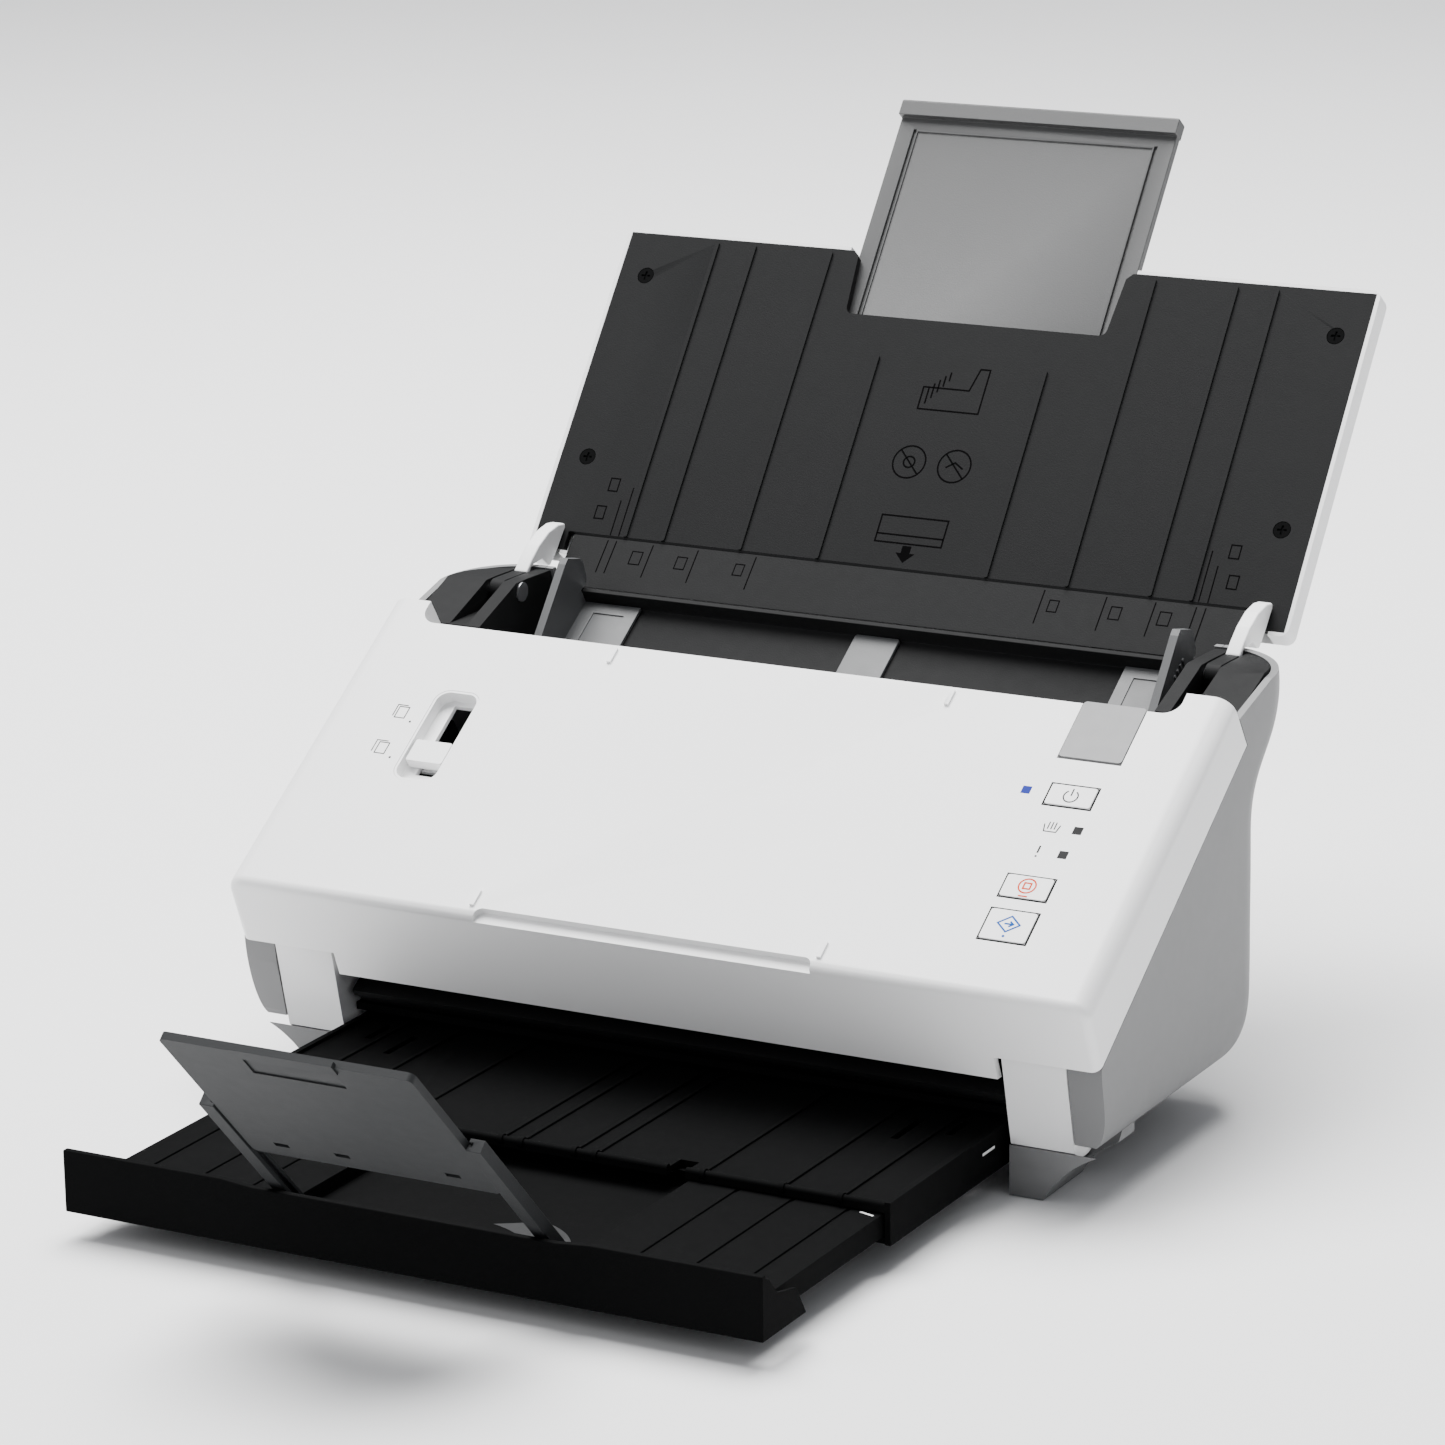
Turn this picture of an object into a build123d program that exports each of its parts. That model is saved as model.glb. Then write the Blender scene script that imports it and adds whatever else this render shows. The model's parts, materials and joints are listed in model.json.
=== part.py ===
from build123d import *
from math import cos, pi, radians, sin
import os

# Sheet-fed document scanner, millimetres. +X is the scanner's right as a user faces it from behind
# the paper exit, +Y runs from the exit to the rear, +Z is up. z = 0 is the table under the feet.

# ---------------------------------------------------------------- driving dimensions
HALF_WIDTH = 148.5            # housing half width
BODY_Y = -35.37               # row y of the housing's front face, so that the model is centred
GAP = 0.3                     # clearance between neighbouring pieces
WALL = 2.4                    # housing wall thickness

COVER_SLOPE = 33.0            # slope of the top cover, degrees
COVER_FRONT = (-4.1, 71.0)    # (y, z) where the slope plane starts, y from the housing front
COVER_REAR_V = 107.6          # rear edge of the cover, measured up the slope
COVER_EAR_V = 116.6           # rear end of the two outer ears
COVER_AXIS = (14.5, 25.0)     # cover hinge axis (y, z)
LIP_Z = 37.2                  # underside of the cover's front lip
LIP_HALF = 114.0              # half width of the paper exit under the lip
BLOCK_TOP_Z = 45.4            # top of the hinge blocks and front trims
BLOCK_IN, BLOCK_OUT = 116.2, 137.0
PARTING_SLOPE = 0.681         # rise over run of the side parting line

PATH_HALF = 118.6             # half width of the lower paper guide
PLATE_N = (-43.5, -41.0)      # the lower paper guide's plate, below the cover's outer plane

SUPPORT_ANGLE = 52.3          # paper support, degrees from horizontal
SUPPORT_FOOT = (166.2, 142.2) # (y, z) of the bend at the foot of the support's inner face
SUPPORT_HALF = 136.0          # dark inner panel half width
SUPPORT_TOP = 113.1           # length of the inner panel above the bend
STRIP_ANGLE = 44.4            # the lead-in strip under the bend
STRIP_LENGTH = 19.4
REST_GAP = 2.2                # folded support to closed cover
SUPPORT_AXIS_Y = 128.0        # support hinge axis, y from the housing front
EXTENSION_TOP = 171.8

TRAY_HALF = 113.2             # first tray stage half width
TRAY_Z = 8.0                  # underside of the tray
TRAY_LIP_Y = -66.0            # front lip of the first stage when pulled out
PANEL_Y = -147.2              # front face of the second stage's end panel
PANEL_HALF = 115.4
STOPPER_AXIS = (-130.3, 14.9) # (y, z) of the paper stopper's pivot
STOPPER_LEAN = 43.7           # stopper lean forward of upright, degrees
STOPPER_REACH = 104.8         # pivot to the stopper's top edge

# ---------------------------------------------------------------- frames that the pieces are drawn in
COVER = Plane(
    origin=(0, BODY_Y + COVER_FRONT[0], COVER_FRONT[1]),
    x_dir=(1, 0, 0),
    z_dir=(0, -sin(radians(COVER_SLOPE)), cos(radians(COVER_SLOPE))),
)
SUPPORT = Plane(
    origin=(0, BODY_Y + SUPPORT_FOOT[0], SUPPORT_FOOT[1]),
    x_dir=(1, 0, 0),
    z_dir=(0, -sin(radians(SUPPORT_ANGLE)), cos(radians(SUPPORT_ANGLE))),
)
STRIP = Plane(
    origin=(0, BODY_Y + SUPPORT_FOOT[0], SUPPORT_FOOT[1]),
    x_dir=(1, 0, 0),
    z_dir=(0, -sin(radians(STRIP_ANGLE)), cos(radians(STRIP_ANGLE))),
)
STOPPER = Plane(
    origin=(0, BODY_Y + STOPPER_AXIS[0], STOPPER_AXIS[1]),
    x_dir=(1, 0, 0),
    z_dir=(0, -cos(radians(STOPPER_LEAN)), -sin(radians(STOPPER_LEAN))),
)


def side(x):
    """A plane across the scanner at x: its own x is the row's y from the housing front, its y is z."""
    return Plane(origin=(x, BODY_Y, 0), x_dir=(0, 1, 0), z_dir=(1, 0, 0))


def plan(z):
    """A level plane at height z, with y measured from the housing front."""
    return Plane(origin=(0, BODY_Y, z))


def face_on(y):
    """An upright plane facing the user at y from the housing front."""
    return Plane(origin=(0, BODY_Y + y, 0), x_dir=(1, 0, 0), z_dir=(0, -1, 0))


def cover_point(v, n):
    """(y, z) of a point v up the cover's slope and n above its outer plane."""
    a = radians(COVER_SLOPE)
    return (COVER_FRONT[0] + v * cos(a) - n * sin(a), COVER_FRONT[1] + v * sin(a) + n * cos(a))


def support_axis():
    """(y, z) of the support hinge: as far from the open support's face as from the folded one."""
    a, c = radians(SUPPORT_ANGLE), radians(COVER_SLOPE)
    open_term = SUPPORT_FOOT[0] * sin(a) - SUPPORT_FOOT[1] * cos(a)
    fold_term = REST_GAP - COVER_FRONT[0] * sin(c) + COVER_FRONT[1] * cos(c)
    z = (SUPPORT_AXIS_Y * (sin(a) + sin(c)) + fold_term - open_term) / (cos(a) + cos(c))
    return (SUPPORT_AXIS_Y, z)


HINGE = support_axis()


def block(plane, u0, u1, v0, v1, n0, n1, mode=Mode.ADD):
    """A straight block in a frame: u across, v along, n out of the frame's plane."""
    with BuildSketch(plane.offset(n0)) as outline:
        with Locations(((u0 + u1) / 2, (v0 + v1) / 2)):
            Rectangle(abs(u1 - u0), abs(v1 - v0))
    extrude(outline.sketch, amount=n1 - n0, mode=mode)


def rounded(plane, u0, u1, v0, v1, n0, n1, radius, mode=Mode.ADD):
    """A block with rounded corners in plan."""
    with BuildSketch(plane.offset(n0)) as outline:
        with Locations(((u0 + u1) / 2, (v0 + v1) / 2)):
            RectangleRounded(abs(u1 - u0), abs(v1 - v0), radius)
    extrude(outline.sketch, amount=n1 - n0, mode=mode)


def prism(x0, x1, points, mode=Mode.ADD):
    """A side profile of (y, z) points carried across from x0 to x1."""
    with BuildSketch(side(x0)) as outline:
        Polygon(*points, align=None)
    extrude(outline.sketch, amount=x1 - x0, mode=mode)


def rod(x0, x1, centre, radius, mode=Mode.ADD):
    """A round bar along X through (y, z) centre."""
    with BuildSketch(side(x0)) as outline:
        with Locations(centre):
            Circle(radius)
    extrude(outline.sketch, amount=x1 - x0, mode=mode)


def save(part, name):
    part.label = name
    export_step(part, f"parts/{name}.step")


os.makedirs("parts", exist_ok=True)

# ---------------------------------------------------------------- base housing
# Level sections of the housing: height, half width, front y, rear y, rear corner radius.
HOUSING_SECTIONS = (
    (19.0, 144.4, 6.0, 117.0, 20.0),
    (23.0, 146.8, 5.1, 122.0, 21.0),
    (30.0, 148.2, 3.5, 125.4, 22.0),
    (40.0, HALF_WIDTH, 1.2, 126.4, 22.0),
    (60.0, HALF_WIDTH, 0.2, 126.4, 22.0),
    (82.0, HALF_WIDTH, 0.2, 126.4, 22.0),
    (96.0, HALF_WIDTH, 0.2, 127.6, 22.5),
    (106.0, HALF_WIDTH, 0.2, 134.0, 23.5),
    (116.0, HALF_WIDTH, 0.2, 145.0, 25.0),
    (124.0, HALF_WIDTH, 0.2, 150.0, 26.0),
    (131.0, HALF_WIDTH, 0.2, 150.6, 26.0),
    (138.0, HALF_WIDTH, 0.2, 147.6, 26.0),
)


def housing_section(z, half, front, rear, corner, inset):
    """One level outline, drawn inset from the outer face."""
    a, f, r, c = half - inset, front + inset, rear - inset, corner - inset
    with BuildSketch(plan(z)) as outline:
        with BuildLine():
            Line((-a, f), (a, f))
            Line((a, f), (a, r - c))
            RadiusArc((a, r - c), (a - c, r), -c)
            Line((a - c, r), (-a + c, r))
            RadiusArc((-a + c, r), (-a, r - c), -c)
            Line((-a, r - c), (-a, f))
        make_face()
    return outline.sketch


def housing_solid(inset):
    """The housing's whole outer form, or the space inside its wall."""
    sections = [housing_section(*row, inset) for row in HOUSING_SECTIONS]
    with BuildPart() as form:
        loft([section.face() for section in sections])
    return form.part


def above_housing():
    """The side profile of everything above the base's upper edge."""
    front_low = (-20, BLOCK_TOP_Z - 0.25 - 20 * PARTING_SLOPE)
    rear_low = cover_point(COVER_EAR_V + 0.5, -20.9)
    rear_high = cover_point(COVER_EAR_V + 0.5, -9.5)
    return [front_low, rear_low, rear_high, (124, 133.6), (156, 135.6), (156, 200), (-20, 200)]


housing_outer = housing_solid(0)
housing_inner = housing_solid(WALL)
housing_clear = housing_solid(WALL + GAP)

with BuildPart() as housing_shell:
    add(housing_outer)
    add(housing_inner, mode=Mode.SUBTRACT)
    prism(-160, 160, above_housing(), mode=Mode.SUBTRACT)
    # paper exit, tray tunnel and the bays of the two hinge blocks
    block(plan(0), -137.4, 137.4, -10, 60, 15, 60, mode=Mode.SUBTRACT)

SEAM_X = 122.0  # the rear cover lies between the two side covers


def front_trim(sign):
    """The closed block at a front corner, hollow inside, that carries the hinge pin."""
    with BuildPart() as trim:
        add(housing_outer)
        block(plan(0), sign * 137.4, sign * 160, -10, 34, 15, 60, mode=Mode.INTERSECT)
        block(plan(0), sign * 139.6, sign * 146, 4.5, 60, 21.4, 60, mode=Mode.SUBTRACT)
        prism(-160, 160, above_housing(), mode=Mode.SUBTRACT)
    return trim.part


def side_cover(sign):
    """A side cover: outer skin, rear corner and front trim with its hinge pin boss."""
    trim = front_trim(sign)
    with BuildPart() as cover:
        add(housing_shell.part)
        block(plan(0), sign * SEAM_X, sign * 160, -10, 160, 0, 160, mode=Mode.INTERSECT)
        add(trim)
        rod(sign * 137.4, sign * 142.0, COVER_AXIS, 5.0)
        rod(sign * 137.0, sign * 142.0, COVER_AXIS, 2.5, mode=Mode.SUBTRACT)
    return cover


left_side_cover = side_cover(-1)
save(left_side_cover.part, "left_side_cover")
right_side_cover = side_cover(1)
save(right_side_cover.part, "right_side_cover")

DC_X, USB_X, PORT_Z = -100.0, -78.0, 42.0
with BuildPart() as rear_cover:
    add(housing_shell.part)
    block(plan(0), -SEAM_X + 0.2, SEAM_X - 0.2, 60, 160, 0, 160, mode=Mode.INTERSECT)
    # top edge under the paper guide's rear end
    block(COVER, -PATH_HALF - 0.4, PATH_HALF + 0.4, 90, 190, PLATE_N[0] - 0.3, 60, mode=Mode.SUBTRACT)
    block(face_on(160), DC_X - 5.4, DC_X + 5.4, PORT_Z - 5.4, PORT_Z + 5.4, 0, 60, mode=Mode.SUBTRACT)
    block(face_on(160), USB_X - 6.4, USB_X + 6.4, PORT_Z - 5.9, PORT_Z + 5.9, 0, 60, mode=Mode.SUBTRACT)
    # ventilation slots low on the rear wall
    for slot_x in range(20, 101, 8):
        block(face_on(160), slot_x - 1.5, slot_x + 1.5, 38, 58, 0, 60, mode=Mode.SUBTRACT)
save(rear_cover.part, "rear_cover")

# ---------------------------------------------------------------- base frame, feet and decks
FEED_AT = (96, -48.2)        # feed roller axis in the cover's frame (v, n)
TRANSPORT_AT = (70, -45.2)
EJECT_AT = (14, -45.2)
ROLLERS_AT = (FEED_AT, TRANSPORT_AT, EJECT_AT)
MOTOR_AXIS = (100.0, 48.0)   # (y, z)
PAN_REAR = 118.0
BEARING_BORE = 5.0

with BuildPart() as base_frame:
    # pan over the tray tunnel, side flanges under the housing and the inner side walls
    block(plan(22.3), -115.4, 115.4, 12.8, PAN_REAR, 0, 2.4)
    for sign in (-1, 1):
        block(plan(22.3), sign * 115, sign * 121.4, 34.3, PAN_REAR, 0, 2.4)
        block(plan(19.2), sign * 116.8, sign * 141.6, 34.3, 97, 0, 5.5)
        wall_profile = [(34.5, 22.3), (PAN_REAR, 22.3), (PAN_REAR, 105.0), (30.5, 48.2)]
        prism(sign * 119.0, sign * 121.4, wall_profile)
    # motor mount and rear cross rib, open behind the two ports
    block(plan(24.7), -119, 119, 115.4, 117.8, 0, 40)
    block(face_on(120), DC_X - 6, USB_X + 7, PORT_Z - 6.5, PORT_Z + 6.5, 0, 6, mode=Mode.SUBTRACT)
    block(plan(24.7), 80.0, 83.0, 80, 115.5, 0, 39)
    rod(79, 84, MOTOR_AXIS, 6.2, mode=Mode.SUBTRACT)
    # room for the shafts in the side walls
    for place in ROLLERS_AT:
        rod(-123, 123, cover_point(*place), BEARING_BORE, mode=Mode.SUBTRACT)
    rod(118, 123, MOTOR_AXIS, 2.6, mode=Mode.SUBTRACT)
save(base_frame.part, "base_frame")

FOOT_IN, FOOT_OUT = 116.0, 144.0


def front_foot(sign):
    """A front foot: a flared bracket with a round cradle for the cover's hinge block."""
    y, z = COVER_AXIS
    with BuildPart() as foot:
        foot_profile = [(6.2, 0), (6.2, 20), (26, 30), (29, 28), (33.8, 18.8), (33.8, 0)]
        prism(sign * FOOT_IN, sign * FOOT_OUT, foot_profile)
        rod(sign * 115, sign * 145, (y, z), 12.3, mode=Mode.SUBTRACT)
        prism(sign * 115, sign * 145, [(0, z), (26.0, z), (26.0, 40), (0, 40)], mode=Mode.SUBTRACT)
        prism(sign * 115, sign * 145, [(0, 15.8), (14.5, 15.8), (14.5, 40), (0, 40)], mode=Mode.SUBTRACT)
        block(plan(0), sign * 137.0, sign * 145, 0, 40, 18.6, 40, mode=Mode.SUBTRACT)
        block(plan(0), sign * 115, sign * 137.1, 31.0, 40, 22.0, 40, mode=Mode.SUBTRACT)
        with BuildSketch(face_on(50)) as flare:
            with BuildLine():
                Line((sign * 127.0, -1), (sign * 127.0, 0))
                ThreePointArc((sign * 127.0, 0), (sign * 133.6, 8.6), (sign * 144.0, 15.6))
                Line((sign * 144.0, 15.6), (sign * 150, 15.6))
                Line((sign * 150, 15.6), (sign * 150, -1))
                Line((sign * 150, -1), (sign * 127.0, -1))
            make_face()
        extrude(flare.sketch, amount=60, mode=Mode.SUBTRACT)
        # hollow underneath
        block(plan(0), sign * 118.5, sign * 125.0, 9.0, 31.0, 0, 8.5, mode=Mode.SUBTRACT)
    return foot


left_front_foot = front_foot(-1)
save(left_front_foot.part, "left_front_foot")
right_front_foot = front_foot(1)
save(right_front_foot.part, "right_front_foot")

with BuildPart() as rear_feet:
    for sign in (-1, 1):
        block(plan(0), sign * 62, sign * 100, 103.0, 113.5, 0, 22.3)
save(rear_feet.part, "rear_feet")

ARM_IN, ARM_OUT = 125.4, 130.4  # the support's hinge arms
PIN_END = 136.4  # outer end of the support's hinge pins
DECK_PROFILE = [
    cover_point(117.6, -11.2),
    (121, 133.4),
    (124.5, 134.9),
    (132, 134.9),
    (150, 134.3),
    (150, 112.0),
    (132, 109.8),
    cover_point(117.6, -30),
]


def rear_deck(sign):
    """The dark block behind a cover ear, slotted for a hinge arm."""
    with BuildPart() as deck:
        add(housing_clear)
        prism(sign * 119.8, sign * 150, DECK_PROFILE, mode=Mode.INTERSECT)
        arm_slot = (sign * (ARM_IN - 0.7), sign * (ARM_OUT + 0.7), 90, 149.5, 125.8, 150)
        block(plan(0), *arm_slot, mode=Mode.SUBTRACT)
        rod(sign * 118, sign * (PIN_END + 0.1), HINGE, 2.02, mode=Mode.SUBTRACT)
    return deck


left_rear_deck = rear_deck(-1)
save(left_rear_deck.part, "left_rear_deck")
right_rear_deck = rear_deck(1)
save(right_rear_deck.part, "right_rear_deck")

with BuildPart() as support_hinge_pins:
    for sign in (-1, 1):
        rod(sign * 119.2, sign * PIN_END, HINGE, 2.0)
        rod(sign * 119.2, sign * 119.8, HINGE, 3.2)
save(support_hinge_pins.part, "support_hinge_pins")

with BuildPart() as cover_hinge_pins:
    for sign in (-1, 1):
        rod(sign * 129.0, sign * 141.8, COVER_AXIS, 2.48)
save(cover_hinge_pins.part, "cover_hinge_pins")

# ---------------------------------------------------------------- lower paper path
PINION_V = 116.0                          # guide pinion axis, up the slope
SLOTS = ((106.3, 108.3), (123.7, 125.7))  # guide slots across the path (v from, v to)
PATH_END = 160.6                          # rear end of the lower paper guide
TYRES = {"feed_roller": (-10, 10), "transport_roller": (-80, -40, 40, 80), "eject_roller": (-40, 40)}
GLASS_V = (38.8, 51.2)


def path_windows():
    """Openings for the tyres and the scan glass, the same in both paper guides."""
    block(COVER, -19, 19, 86.8, 105.0, -60, -20, mode=Mode.SUBTRACT)
    for name, v in (("transport_roller", TRANSPORT_AT[0]), ("eject_roller", EJECT_AT[0])):
        for u in TYRES[name]:
            block(COVER, u - 11, u + 11, v - 6.4, v + 6.4, -60, -20, mode=Mode.SUBTRACT)
    block(COVER, -110.4, 110.4, GLASS_V[0] - 0.3, GLASS_V[1] + 0.3, -60, -20, mode=Mode.SUBTRACT)


with BuildPart() as lower_paper_guide:
    block(COVER, -LIP_HALF, LIP_HALF, -12, PATH_END, *PLATE_N)
    for sign in (-1, 1):
        block(COVER, sign * (LIP_HALF - 1), sign * PATH_HALF, 4.5, PATH_END, *PLATE_N)
    # upstand that closes the gap under the lead-in strip
    block(COVER, -PATH_HALF, PATH_HALF, PATH_END - 1.6, PATH_END, PLATE_N[0], -35.2)
    # rounded nose at the exit
    prism(-LIP_HALF, LIP_HALF, [cover_point(-12, -41), (14.6, 24.9), (16.6, 24.9), cover_point(-8, -43.4)])
    path_windows()
    for low, high in SLOTS:
        for sign in (-1, 1):
            block(COVER, sign * 19.8, sign * 105.6, low - 0.6, high + 0.6, -50, -35, mode=Mode.SUBTRACT)
    # grooves over the roller shafts, and the pin of the guide pinion
    for v, n in (TRANSPORT_AT, EJECT_AT):
        block(COVER, -PATH_HALF - 1, PATH_HALF + 1, v - 3.0, v + 3.0, -46, -42.2, mode=Mode.SUBTRACT)
    with Locations(COVER * Location((0, PINION_V, -46.4))):
        Cylinder(1.5, 6.0)
save(lower_paper_guide.part, "lower_paper_guide")

with BuildPart() as guide_bridge:
    rounded(COVER, -8, 8, 124, 158.5, -40.95, -39.6, 1.0)
    fillet(guide_bridge.edges().filter_by(GeomType.LINE).group_by(Axis.Z)[-1], 0.3)
save(guide_bridge.part, "guide_bridge")


SHAFT_RADIUS = 2.6
PULLEY_RADIUS = 8.0
FLANGE_RADIUS = 9.2


def roller(place, tyre_radius, tyre_length, name):
    """A driven shaft with a toothed-belt pulley, and the rubber tyres on it."""
    y, z = cover_point(*place)
    with BuildPart() as shaft:
        rod(-123.5, 131.0, (y, z), SHAFT_RADIUS)
        rod(123.0, 131.0, (y, z), PULLEY_RADIUS)
        rod(122.4, 123.0, (y, z), FLANGE_RADIUS)
        rod(131.0, 131.6, (y, z), FLANGE_RADIUS)
    with BuildPart() as rubber:
        for u in TYRES[name]:
            rod(u - tyre_length / 2, u + tyre_length / 2, (y, z), tyre_radius)
        rod(-124, 132, (y, z), SHAFT_RADIUS, mode=Mode.SUBTRACT)
    save(shaft.part, f"{name}_shaft")
    save(rubber.part, f"{name}_tyres")


roller(FEED_AT, 9.0, 14, "feed_roller")
roller(TRANSPORT_AT, 6.0, 20, "transport_roller")
roller(EJECT_AT, 6.0, 20, "eject_roller")

with BuildPart() as roller_bearings:
    for place in ROLLERS_AT:
        for sign in (-1, 1):
            rod(sign * 118.7, sign * 121.7, cover_point(*place), BEARING_BORE - 0.04)
            rod(sign * 118.0, sign * 122.2, cover_point(*place), SHAFT_RADIUS + 0.05, mode=Mode.SUBTRACT)
save(roller_bearings.part, "roller_bearings")

with BuildPart() as feed_motor:
    rod(83.2, 117.0, MOTOR_AXIS, 14.0)
    rod(79.5, 83.2, MOTOR_AXIS, 6.0)
    rod(117.0, 118.6, MOTOR_AXIS, 5.0)
    block(plan(24.8), 86, 114, 90, 110, 0, 12)
    rod(100, 119.5, MOTOR_AXIS, 1.55, mode=Mode.SUBTRACT)
save(feed_motor.part, "feed_motor")

with BuildPart() as motor_pulley:
    rod(101, 131.0, MOTOR_AXIS, 1.5)
    rod(123.0, 131.0, MOTOR_AXIS, PULLEY_RADIUS)
    rod(122.4, 123.0, MOTOR_AXIS, FLANGE_RADIUS)
    rod(131.0, 131.6, MOTOR_AXIS, FLANGE_RADIUS)
save(motor_pulley.part, "motor_pulley")


def belt_loop(extra):
    """The outline round the four pulleys, extra outside their rims."""
    with BuildSketch(side(124.0)) as loop:
        for centre in [cover_point(*place) for place in ROLLERS_AT] + [MOTOR_AXIS]:
            with Locations(centre):
                Circle(PULLEY_RADIUS + extra)
        make_hull()
    return loop.sketch


with BuildPart() as drive_belt:
    extrude(belt_loop(1.5), amount=6.0)
    extrude(belt_loop(0.3), amount=6.0, mode=Mode.SUBTRACT)
save(drive_belt.part, "drive_belt")

with BuildPart() as lower_scan_unit:
    block(COVER, -114, 114, 33, 57, -61, -43.6)
    block(COVER, -110.4, 110.4, 38, 52, -49, -43, mode=Mode.SUBTRACT)
save(lower_scan_unit.part, "lower_scan_unit")

with BuildPart() as lower_scan_glass:
    block(COVER, -110.0, 110.0, *GLASS_V, -43.8, -41.2)
save(lower_scan_glass.part, "lower_scan_glass")

with BuildPart() as main_board:
    block(plan(27.0), -112, -20, 60, 114, 0, 1.6)
    chips = ((-90, 80, 16, 16, 2.2), (-55, 84, 10, 10, 1.6), (-40, 104, 14, 6, 5.0), (-60, 70, 6, 12, 7.0))
    for u, y, w, d, h in chips:
        block(plan(28.6), u - w / 2, u + w / 2, y - d / 2, y + d / 2, 0, h)
    for u in (-108, -24):
        for y in (63, 111):
            block(plan(24.7), u - 2, u + 2, y - 2, y + 2, 0, 2.3)
save(main_board.part, "main_board")

with BuildPart() as dc_inlet:
    block(face_on(126.0), DC_X - 5, DC_X + 5, PORT_Z - 5, PORT_Z + 5, 0, 11.5)
    with BuildSketch(face_on(127.0)) as bore:
        with Locations((DC_X, PORT_Z)):
            Circle(3.0)
    extrude(bore.sketch, amount=10.0, mode=Mode.SUBTRACT)
    with BuildSketch(face_on(125.5)) as centre_pin:
        with Locations((DC_X, PORT_Z)):
            Circle(0.9)
    extrude(centre_pin.sketch, amount=10.0)
save(dc_inlet.part, "dc_inlet")

with BuildPart() as usb_port:
    block(face_on(126.0), USB_X - 6, USB_X + 6, PORT_Z - 5.5, PORT_Z + 5.5, 0, 11.5)
    block(face_on(127.0), USB_X - 4.3, USB_X + 4.3, PORT_Z - 4.0, PORT_Z + 4.0, 0, 9.0, mode=Mode.SUBTRACT)
    block(face_on(126.0), USB_X - 2.8, USB_X + 2.8, PORT_Z - 1.5, PORT_Z + 1.5, 0, 9.0)
save(usb_port.part, "usb_port")

with BuildPart() as tray_rails:
    for sign in (-1, 1):
        block(plan(0), sign * 113.8, sign * 116.6, 34.5, 104, 5.4, 22.2)
        block(plan(0), sign * 108.5, sign * 116.6, 34.5, 104, 5.4, 7.6)
save(tray_rails.part, "tray_rails")

# ---------------------------------------------------------------- top cover
FACE_TOP = (-9.8, 67.3)   # where the slope meets the front face
FACE_LOW = (2.0, LIP_Z)   # bottom of the front face
SKIN = 2.5


def under_cover(y):
    """The cover's lower edge, a hair above the base's upper edge."""
    return (y, BLOCK_TOP_Z + 0.25 + PARTING_SLOPE * y)


with BuildPart() as cover_form:
    rear_low = cover_point(COVER_EAR_V, -20.65)
    cover_front = [cover_point(COVER_EAR_V, 0), FACE_TOP, FACE_LOW, (6.5, LIP_Z)]
    prism(-HALF_WIDTH, HALF_WIDTH, cover_front + [under_cover(5.2), rear_low])
    slope_edges = cover_form.edges().filter_by(lambda e: abs(e.tangent_at(0.5).X) < 0.01)
    outer = slope_edges.filter_by(lambda e: abs(abs(e.center().X) - HALF_WIDTH) < 0.1)
    top_outer = outer.sort_by(Axis.Z)[-4:]
    long_outer = top_outer.filter_by(lambda e: e.length > 60).sort_by(Axis.Z)[-2:]
    fillet(long_outer, 6.0)
    front_edges = cover_form.edges().filter_by(lambda e: abs(e.center().Y - BODY_Y - FACE_TOP[0]) < 1.0)
    fillet(front_edges.filter_by(lambda e: e.length > 200), 3.0)

NOTCH = 128.0  # where the rear edge steps up into the ears
SWITCH_AT = (-104.2, 61.4)
SWITCH_SIZE = (16.4, 38.6)
LEVER_U, LEVER_V = (102.9, 123.6), (85.8, 108.4)
BUTTON_U = (105.2, 121.0)
POWER_V, STOP_V, START_V = (66.4, 75.2), (29.6, 38.7), (12.9, 25.2)
POWER_LED = (98.1, 71.2)
STATUS_LEDS = ((120.2, 58.1), (119.2, 48.3))
LED_HALF = 1.5
BUTTON_GAP = 0.35

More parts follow.
